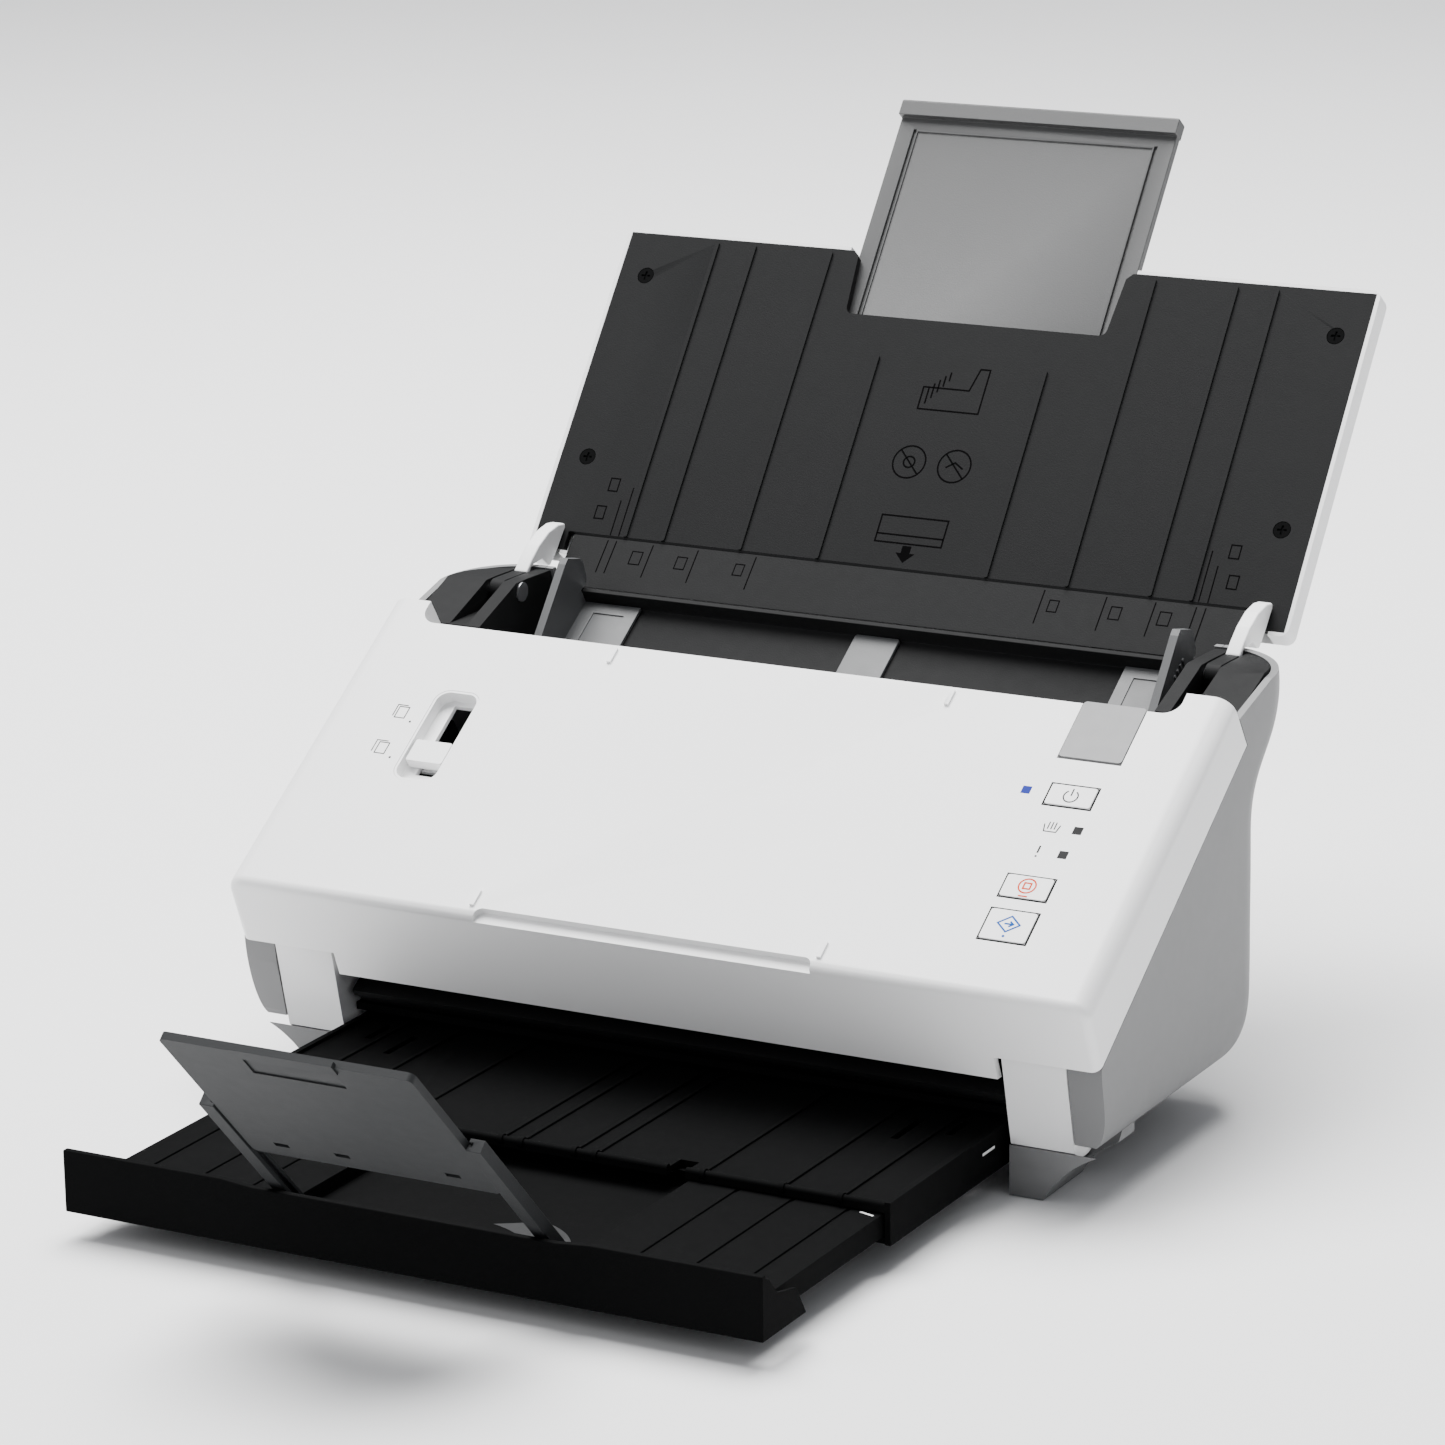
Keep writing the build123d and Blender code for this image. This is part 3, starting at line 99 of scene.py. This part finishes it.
def noise(tree, scale, detail=3.0, roughness=0.5):
    """Solid noise in the object's own space, scale in cycles per metre."""
    place = tree.nodes.new("ShaderNodeTexCoord")
    texture = tree.nodes.new("ShaderNodeTexNoise")
    texture.inputs["Scale"].default_value = scale
    texture.inputs["Detail"].default_value = detail
    texture.inputs["Roughness"].default_value = roughness
    tree.links.new(place.outputs["Object"], texture.inputs["Vector"])
    return texture


def plastic(name, colour, roughness, grain, depth, tint=0.05, specular=0.5):
    """Moulded plastic: a fine spark-eroded grain, slight unevenness of gloss and colour."""
    material, tree, shader = new_material(name)
    shader.inputs["Specular IOR Level"].default_value = specular
    broad = noise(tree, BROAD_NOISE)
    tone = tree.nodes.new("ShaderNodeValToRGB")
    tone.color_ramp.elements[0].position = 0.3
    tone.color_ramp.elements[1].position = 0.7
    for element, gain in zip(tone.color_ramp.elements, (1 - tint, 1 + tint)):
        element.color = (*[min(1.0, channel * gain) for channel in colour], 1)
    tree.links.new(broad.outputs["Fac"], tone.inputs["Fac"])
    tree.links.new(tone.outputs["Color"], shader.inputs["Base Color"])
    gloss = tree.nodes.new("ShaderNodeMapRange")
    gloss.inputs["To Min"].default_value = roughness - SHEEN_RANGE / 2
    gloss.inputs["To Max"].default_value = roughness + SHEEN_RANGE / 2
    tree.links.new(noise(tree, GLOSS_NOISE).outputs["Fac"], gloss.inputs["Value"])
    tree.links.new(gloss.outputs["Result"], shader.inputs["Roughness"])
    bump = tree.nodes.new("ShaderNodeBump")
    bump.inputs["Strength"].default_value = depth
    bump.inputs["Distance"].default_value = GRAIN_HEIGHT
    tree.links.new(noise(tree, grain, 4.0, 0.6).outputs["Fac"], bump.inputs["Height"])
    tree.links.new(bump.outputs["Normal"], shader.inputs["Normal"])
    return material


def metal(name, colour, roughness):
    """Turned or rolled steel, with a finely uneven gloss."""
    material, tree, shader = new_material(name)
    shader.inputs["Base Color"].default_value = (*colour, 1)
    shader.inputs["Metallic"].default_value = 1.0
    gloss = tree.nodes.new("ShaderNodeMapRange")
    gloss.inputs["To Min"].default_value = roughness - 0.1
    gloss.inputs["To Max"].default_value = roughness + 0.12
    tree.links.new(noise(tree, 900.0).outputs["Fac"], gloss.inputs["Value"])
    tree.links.new(gloss.outputs["Result"], shader.inputs["Roughness"])
    return material


def clear_glass(name, colour):
    """Clear glass with a barely uneven surface."""
    material, tree, shader = new_material(name)
    shader.inputs["Base Color"].default_value = (*colour, 1)
    shader.inputs["Roughness"].default_value = 0.03
    shader.inputs["Transmission Weight"].default_value = 0.9
    shader.inputs["IOR"].default_value = 1.5
    film = noise(tree, 60.0)
    bump = tree.nodes.new("ShaderNodeBump")
    bump.inputs["Strength"].default_value = 0.02
    tree.links.new(film.outputs["Fac"], bump.inputs["Height"])
    tree.links.new(bump.outputs["Normal"], shader.inputs["Normal"])
    return material


def lens(name, colour, glow):
    """A small diffusing light window."""
    material = plastic(name, colour, 0.5, FINE_GRAIN, FAINT_DEPTH, specular=0.08)
    shader = material.node_tree.nodes["Principled BSDF"]
    shader.inputs["Emission Color"].default_value = (*colour, 1)
    shader.inputs["Emission Strength"].default_value = glow
    return material


def circuit_board(name):
    """Green solder resist with a pattern of lighter lines that stands for copper tracks."""
    material, tree, shader = new_material(name)
    place = tree.nodes.new("ShaderNodeTexCoord")
    cells = tree.nodes.new("ShaderNodeTexBrick")
    cells.inputs["Scale"].default_value = 160.0
    cells.inputs["Mortar Size"].default_value = 0.03
    cells.inputs["Color1"].default_value = (0.012, 0.09, 0.035, 1)
    cells.inputs["Color2"].default_value = (0.016, 0.11, 0.045, 1)
    cells.inputs["Mortar"].default_value = (0.05, 0.2, 0.08, 1)
    tree.links.new(place.outputs["Object"], cells.inputs["Vector"])
    tree.links.new(cells.outputs["Color"], shader.inputs["Base Color"])
    shader.inputs["Roughness"].default_value = 0.3
    return material


MATERIALS = {
    "white_shell": plastic("white_shell", (0.88, 0.88, 0.88), 0.42, 2600.0, 0.05, tint=0.008),
    "housing_grey": plastic("housing_grey", (0.155, 0.156, 0.158), 0.5, 2400.0, 0.07, tint=0.01),
    "dark_grey": plastic("dark_grey", (0.0085, 0.0087, 0.009), 0.65, 1900.0, 0.35, specular=0.1),
    "guide_grey": plastic("guide_grey", (0.062, 0.064, 0.066), 0.5, 2000.0, 0.2),
    "extension_grey": plastic("extension_grey", (0.048, 0.0485, 0.049), 0.45, 2000.0, 0.15),
    "lever_grey": plastic("lever_grey", (0.145, 0.146, 0.148), 0.45, 2200.0, 0.12),
    "black": plastic("black", (0.0026, 0.0027, 0.0028), 0.8, 1900.0, 0.3, specular=0.03),
    "stopper_grey": plastic("stopper_grey", (0.016, 0.017, 0.018), 0.55, 2000.0, 0.25, specular=0.2),
    "roller_rubber": plastic("roller_rubber", (0.03, 0.03, 0.031), 0.75, 1500.0, 0.5),
    "steel": metal("steel", (0.56, 0.56, 0.58), 0.35),
    "glass": clear_glass("glass", (0.75, 0.85, 0.85)),
    "board": circuit_board("board"),
    "blue_lens": lens("blue_lens", (0.002, 0.012, 0.2), 0.5),
    "dark_lens": lens("dark_lens", (0.006, 0.006, 0.007), 0.0),
}
INK_GREY = plastic("ink_grey", (0.022, 0.0225, 0.023), 0.7, FINE_GRAIN, FAINT_DEPTH, specular=0.1)
INK_ORANGE = plastic("ink_orange", (0.62, 0.045, 0.001), 0.7, FINE_GRAIN, FAINT_DEPTH, specular=0.1)
INK_BLUE = plastic("ink_blue", (0.001, 0.075, 0.33), 0.7, FINE_GRAIN, FAINT_DEPTH, specular=0.1)
# black print colour, also used for the painted shade in the gaps round the keys
INK_AND_SHADE_BLACK = plastic("ink_and_shade_black", (0.0012, 0.0012, 0.0013), 0.8, FINE_GRAIN, FAINT_DEPTH, specular=0.02)
INK_WHITE = plastic("ink_white", (0.75, 0.75, 0.75), 0.5, FINE_GRAIN, FAINT_DEPTH)
SATIN_DARK = plastic("satin_dark", (0.016, 0.0165, 0.017), 0.35, FINE_GRAIN, FAINT_DEPTH, specular=0.25)

for node, piece in NODES.items():
    material = MATERIALS[SLOT_OF[node]]
    if not piece.data.materials:
        piece.data.materials.append(material)
    for index in range(len(piece.material_slots)):
        piece.material_slots[index].material = material

# ---------------------------------------------------------------- rounded edges

WELD_DISTANCE = 1e-6          # metres
FLAT_ANGLE, SMOOTH_ANGLE, BEVEL_ANGLE = 0.6, 32, 38            # degrees
EDGE_SEGMENTS = 2


def put(name, mesh, body, material):
    """Link a new piece, and say what it rides on and is made of."""
    piece = bpy.data.objects.new(name, mesh)
    bpy.context.scene.collection.objects.link(piece)
    mesh.materials.clear()
    mesh.materials.append(material)
    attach(piece, body)
    return piece


def soften(node, width):
    """A copy of a CAD node with its sharp edges rounded, which is shown in its place."""
    mesh = NODES[node].data.copy()
    shape = bmesh.new()
    shape.from_mesh(mesh)
    bmesh.ops.remove_doubles(shape, verts=shape.verts, dist=WELD_DISTANCE)
    bmesh.ops.dissolve_limit(shape, angle_limit=radians(FLAT_ANGLE), verts=shape.verts, edges=shape.edges)
    shape.to_mesh(mesh)
    shape.free()
    mesh.shade_smooth()
    mesh.set_sharp_from_angle(angle=radians(SMOOTH_ANGLE))
    piece = put("soft_" + node, mesh, BODY_OF[node], MATERIALS[SLOT_OF[node]])
    bevel = piece.modifiers.new("edges", "BEVEL")
    bevel.width = width * MM
    bevel.segments = EDGE_SEGMENTS
    bevel.limit_method = "ANGLE"
    bevel.angle_limit = radians(BEVEL_ANGLE)
    bevel.harden_normals = True
    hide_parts(node)
    return piece


SOFT_EDGES = {                # each rounding's width in millimetres
    "cover_shell": 0.35, "hinge_blocks": 0.5, "support_back_shell": 0.4, "support_hinge_arms": 0.5,
    "support_arm_ends": 0.6, "power_button": 0.3, "stop_button": 0.3, "start_button": 0.3,
    "mode_switch_bezel": 0.25, "mode_switch_knob": 0.5, "left_side_cover": 0.4, "right_side_cover": 0.4,
    "rear_cover": 0.3, "left_front_foot": 0.6, "right_front_foot": 0.6, "left_rear_deck": 0.5,
    "right_rear_deck": 0.5, "support_panel": 0.25, "lower_paper_guide": 0.2, "guide_bridge": 0.3,
    "left_edge_guide": 0.45, "right_edge_guide": 0.45, "support_extension": 0.3, "release_lever": 0.4,
    "tray_stage_one": 0.25, "tray_stage_two": 0.3, "tray_front_panel": 0.4, "stopper_frame": 0.4,
    "stopper_panel": 0.3, "rear_feet": 0.8, "upper_paper_guide": 0.2, "support_screws": 0.15,
    "tray_rails": 0.3,
}
for node, width in SOFT_EDGES.items():
    soften(node, width)

# ---------------------------------------------------------------- printed marks

MARK_SUNK, MARK_RISE = 0.05, 0.06                  # how far a mark goes into and out of its surface
MITRE_LIMIT = 0.4


def arc(centre, radius, start, end, steps=24):
    """Points along an arc, angles in degrees."""
    turns = [radians(start + (end - start) * i / steps) for i in range(steps + 1)]
    return [(centre[0] + radius * cos(t), centre[1] + radius * sin(t)) for t in turns]


def ring(centre, radius, steps=32):
    """Points round a whole circle, the first not repeated."""
    return arc(centre, radius, 0, 360, steps)[:-1]


def box_line(centre, width, height):
    """The corners of an upright rectangle."""
    x, y, a, b = centre[0], centre[1], width / 2, height / 2
    return [(x - a, y - b), (x + a, y - b), (x + a, y + b), (x - a, y + b)]


def ribbon(shape, points, width, closed, low, high):
    """A stroke of even width with mitred corners, from low to high off the surface."""
    count = len(points)
    places = [Vector(p) for p in points]
    sides = []
    for i, here in enumerate(places):
        before = places[i - 1] if closed or i else here
        after = places[(i + 1) % count] if closed or i < count - 1 else here
        a = (here - before).normalized() if here != before else (after - here).normalized()
        b = (after - here).normalized() if after != here else a
        across = Vector((-(a + b).y, (a + b).x)).normalized()
        reach = width / 2 / max(MITRE_LIMIT, across.dot(Vector((-b.y, b.x))))
        sides.append([shape.verts.new((here + across * s * reach).to_3d() + Vector((0, 0, h)))
                      for s, h in ((-1, high), (1, high), (1, low), (-1, low))])
    for i in range(count if closed else count - 1):
        now, then = sides[i], sides[(i + 1) % count]
        for k in range(4):
            shape.faces.new((now[k], then[k], then[(k + 1) % 4], now[(k + 1) % 4]))
    if not closed:
        shape.faces.new(sides[0])
        shape.faces.new(tuple(reversed(sides[-1])))


def patch(shape, points, low, high):
    """A filled flat shape, from low to high off the surface."""
    top = [shape.verts.new((x, y, high)) for x, y in points]
    bottom = [shape.verts.new((x, y, low)) for x, y in points]
    shape.faces.new(top)
    shape.faces.new(tuple(reversed(bottom)))
    for i in range(len(points)):
        j = (i + 1) % len(points)
        shape.faces.new((bottom[i], bottom[j], top[j], top[i]))


def marks(name, place, body, material, lines=(), loops=(), fills=(), width=0.4, level=0.0,
          rise=MARK_RISE):
    """Lines, closed outlines and filled shapes lying on a surface, as one piece."""
    shape = bmesh.new()
    for points in lines:
        ribbon(shape, points, width, False, level - MARK_SUNK, level + rise)
    for points in loops:
        ribbon(shape, points, width, True, level - MARK_SUNK, level + rise)
    for points in fills:
        patch(shape, points, level - MARK_SUNK, level + rise)
    bmesh.ops.recalc_face_normals(shape, faces=shape.faces)
    shape.transform(place @ Matrix.Scale(MM, 4))
    mesh = bpy.data.meshes.new(name)
    shape.to_mesh(mesh)
    shape.free()
    return put(name, mesh, body, material)


# the keys' icons; u runs across the cover and v up its slope, both from COVER's origin
KEY_U, KEY_TOP = 113.1, 0.35
POWER_V, STOP_V, START_V = 70.6, 34.6, 19.6
DOT_SIDES = 12

power_arc = arc((KEY_U, POWER_V), 2.3, 125, 415)
power_bar = [(KEY_U, POWER_V + 0.2), (KEY_U, POWER_V + 3.0)]
marks("power_icon", COVER, "power_button", INK_GREY,
      lines=[power_arc, power_bar], width=0.42, level=KEY_TOP)

stop_outlines = [ring((KEY_U, STOP_V), 2.7), box_line((KEY_U, STOP_V), 2.2, 2.2)]
stop_bar = [(KEY_U - 1.5, STOP_V - 4.0), (KEY_U + 1.5, STOP_V - 4.0)]
marks("stop_icon", COVER, "stop_button", INK_ORANGE,
      loops=stop_outlines, lines=[stop_bar], width=0.5, level=KEY_TOP)

start_diamond = [(KEY_U - 3.6, START_V), (KEY_U, START_V - 3.0),
                 (KEY_U + 3.6, START_V), (KEY_U, START_V + 3.0)]
start_arrow = [(KEY_U - 1.4, START_V), (KEY_U + 1.0, START_V)]
start_head = [(KEY_U + 0.2, START_V + 1.0), (KEY_U + 1.5, START_V), (KEY_U + 0.2, START_V - 1.0)]
start_dot = ring((KEY_U, START_V - 4.7), 0.45, DOT_SIDES)
marks("start_icon", COVER, "start_button", INK_BLUE,
      loops=[start_diamond], lines=[start_arrow, start_head], fills=[start_dot], width=0.55, level=KEY_TOP)

# painted shade: thin dark outlines on the cover that stand for the shade in the deep gaps round the keys
KEY_WIDTH, KEY_GAP, GAP_RISE = 15.8, 0.5, 0.02
KEY_SPANS = ((66.4, 75.2), (29.6, 38.7), (12.9, 25.2))     # each key opening's lower and upper edge
key_gaps = [box_line((KEY_U, (low + high) / 2), KEY_WIDTH, high - low) for low, high in KEY_SPANS]
marks("key_gap_shadows", COVER, "cover", INK_AND_SHADE_BLACK,
      loops=key_gaps, width=KEY_GAP, rise=GAP_RISE)

# the two status lights' icons: sheets in a tray, and an alert
TRAY_U, TRAY_V = 111.6, 58.0
tray_icon = [(TRAY_U - 2.6, TRAY_V + 1.2), (TRAY_U - 2.0, TRAY_V - 1.6),
             (TRAY_U + 2.0, TRAY_V - 1.6), (TRAY_U + 2.6, TRAY_V + 1.2)]
sheets = [[(TRAY_U + across, TRAY_V - 0.6), (TRAY_U + across, TRAY_V + 2.2)] for across in (-1.1, 0, 1.1)]
marks("tray_status_icon", COVER, "cover", INK_GREY, lines=[tray_icon] + sheets, width=0.35)

ALERT_U, ALERT_V = 111.0, 48.2
alert_bar = [(ALERT_U, ALERT_V - 0.4), (ALERT_U, ALERT_V + 2.4)]
alert_dot = ring((ALERT_U, ALERT_V - 1.7), 0.35, DOT_SIDES)
marks("alert_status_icon", COVER, "cover", INK_GREY,
      lines=[alert_bar], fills=[alert_dot], width=0.55)

PAGE_WIDTH, PAGE_HEIGHT = 3.6, 4.6


def mode_icon(name, centre, second):
    """A page outline, the corner of a second page behind it to the left, and a dot."""
    u, v = centre
    behind = u - PAGE_WIDTH / 2 - second
    corner = [(behind, v - 1.8), (behind, v + 3.0), (u + 1.0, v + 3.0)]
    marks(name, COVER, "cover", INK_GREY, loops=[box_line(centre, PAGE_WIDTH, PAGE_HEIGHT)],
          lines=[corner], fills=[ring((u + 4.6, v - 3.4), 0.4, DOT_SIDES)], width=0.32)


mode_icon("loose_sheets_icon", (-120.8, 69.0), 0.9)
mode_icon("folded_set_icon", (-120.6, 53.6), 1.3)

# guidance pictograms on the paper support: a stack of sheets, no clips, no folds, and the way in
stack = [[(-9 + 1.6 * i, 60.0 + 2.2 * i), (-9 + 1.6 * i, 66.0 + 1.5 * i)] for i in range(5)]
sheaf = [(-11, 58), (11, 58), (11, 74), (7.5, 74), (5.5, 66), (-11, 66)]
CLIP_AT, FOLD_AT, SIGN_RADIUS = (-8.2, 38.7), (8.2, 38.7), 5.8
signs = [ring(CLIP_AT, SIGN_RADIUS), ring(CLIP_AT, 2.0, 16), ring(FOLD_AT, SIGN_RADIUS)]
slashes = [[(-12.2, 42.8), (-4.2, 34.6)], [(4.2, 42.8), (12.2, 34.6)]]
crease = [(5.2, 38.0), (8.2, 40.0), (11.4, 38.0)]
card = box_line((0, 14.5), 24, 9.5)
card_edge = [(-12, 12.6), (12, 12.6)]
down = [(0, 3.0), (-3.4, 6.4), (-1.6, 6.4), (-1.6, 9.0), (1.6, 9.0), (1.6, 6.4), (3.4, 6.4)]
marks("support_pictograms", SUPPORT, "support", INK_AND_SHADE_BLACK, loops=[sheaf, card] + signs,
      lines=stack + slashes + [crease, card_edge], fills=[down], width=0.55, rise=0.04)

# plain tick lines and page outlines near the usual half-widths of paper
SIDES = (-1, 1)
SIZE_LINES = (52.3, 74.0, 91.0, 105.0, 108.2)
strip_lines = [[(side * u, -13.5), (side * u, -0.8)] for u in SIZE_LINES for side in SIDES]
marks("strip_size_lines", STRIP, "support", INK_AND_SHADE_BLACK, lines=strip_lines, width=0.4)

UPPER_LINES = ((105.0, 19.0), (108.2, 14.0))       # (half-width, upper end)
UPPER_PAGES = ((112.6, 19.4), (114.6, 9.0))
upper_lines = [[(side * u, 1.2), (side * u, top)] for u, top in UPPER_LINES for side in SIDES]
pages = [box_line((side * u, v), 3.4, 4.6) for u, v in UPPER_PAGES for side in SIDES]
marks("support_size_lines", SUPPORT, "support", INK_AND_SHADE_BLACK,
      lines=upper_lines, loops=pages, width=0.4)

small_pages = [box_line((side * (u + 4.6), -6.4), 2.4 + u / 60, 3.4 + u / 60)
               for u in SIZE_LINES[:3] for side in SIDES]
marks("strip_page_marks", STRIP, "support", INK_AND_SHADE_BLACK, loops=small_pages, width=0.35)

# dashes that show how far the tray is out, and the arrow in its pocket
DASH_WIDTH, DASH_HEIGHT = 0.8, 16.0
right_face = Matrix.Translation(Vector((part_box("tray_stage_one")[1].x, 0, 0)))
side_face = right_face @ Matrix.Rotation(pi / 2, 4, "Y")       # its local x points down
side_dash = [(-DASH_HEIGHT, HOUSING_Y - 6.0), (-DASH_HEIGHT, HOUSING_Y + 2.0)]
marks("tray_side_dash", side_face, "tray_stage_one", INK_WHITE, lines=[side_dash], width=DASH_WIDTH)
edge_dash = [(104.0, -66.8), (108.8, -68.2)]
marks("tray_edge_dash", LEVEL, "tray_stage_two", INK_WHITE, lines=[edge_dash], width=DASH_WIDTH,
      level=TRAY_DECK)
sweep = arc((14, -128), 26, 20, 75, 16) + arc((2, -140), 30, 78, 30, 16)
marks("pocket_arrow", LEVEL, "tray_stage_two", SATIN_DARK,
      fills=[sweep], level=POCKET_FLOOR, rise=0.08)

# ---------------------------------------------------------------- stage, light and camera

# places and sizes here are in metres, except the lens, its sensor and what is multiplied by MM
FLOOR_SIZE, FLOOR_DROP = 24.0, 0.0002
LIGHTS_AIM = (0.0, 0.0, 0.1)
SKY_COLOUR, SKY_STRENGTH = (0.93, 0.95, 1.0, 1), 0.4


def floor():
    """A wide pale sheet just under the scanner's feet."""
    bpy.ops.mesh.primitive_plane_add(size=FLOOR_SIZE, location=(0, 0, -FLOOR_DROP))
    sheet = bpy.context.object
    sheet.name = "floor"
    sheet.data.materials.append(plastic("floor", (0.86, 0.86, 0.86), 0.75, 200.0, 0.02, tint=0.004))


def area_light(name, place, size, power_watts):
    """A rectangular soft light that faces the scanner."""
    data = bpy.data.lights.new(name, "AREA")
    data.shape = "RECTANGLE"
    data.size, data.size_y = size
    data.energy = power_watts
    lamp = bpy.data.objects.new(name, data)
    bpy.context.scene.collection.objects.link(lamp)
    lamp.location = place
    lamp.rotation_euler = (Vector(LIGHTS_AIM) - Vector(place)).to_track_quat("-Z", "Y").to_euler()


floor()
area_light("overhead", (-0.5, 0.5, 2.4), (2.2, 1.8), 225.0)
area_light("left_fill", (-2.2, -1.6, 1.5), (1.6, 1.6), 30.0)
area_light("right_fill", (2.6, -0.9, 1.0), (1.4, 1.4), 1.5)

world = bpy.data.worlds.new("studio")
bpy.context.scene.world = world
world.use_nodes = True
world.node_tree.nodes["Background"].inputs["Color"].default_value = SKY_COLOUR
world.node_tree.nodes["Background"].inputs["Strength"].default_value = SKY_STRENGTH

CAMERA_AT = Vector((780.36, -1374.86 + HOUSING_Y, 569.31)) * MM
CAMERA_AZIMUTH, CAMERA_ELEVATION, CAMERA_ROLL = 28.784, 15.444, -0.913   # degrees
SENSOR_WIDTH, LENS = 36.0, 136.82


def camera():
    """A long lens at the scanner's front right, a little above it."""
    a, e, r = radians(CAMERA_AZIMUTH), radians(CAMERA_ELEVATION), radians(CAMERA_ROLL)
    forward = Vector((-sin(a) * cos(e), cos(a) * cos(e), -sin(e)))
    level_right = Vector((cos(a), sin(a), 0))
    level_up = level_right.cross(forward)
    right = level_right * cos(r) + level_up * sin(r)
    up = level_up * cos(r) - level_right * sin(r)
    data = bpy.data.cameras.new("camera")
    data.sensor_width = SENSOR_WIDTH
    data.lens = LENS
    data.clip_start, data.clip_end = 0.05, 60.0
    view_point = bpy.data.objects.new("camera", data)
    bpy.context.scene.collection.objects.link(view_point)
    turn = Matrix((right, up, -forward)).transposed().to_4x4()
    view_point.matrix_world = Matrix.Translation(CAMERA_AT) @ turn
    bpy.context.scene.camera = view_point


camera()
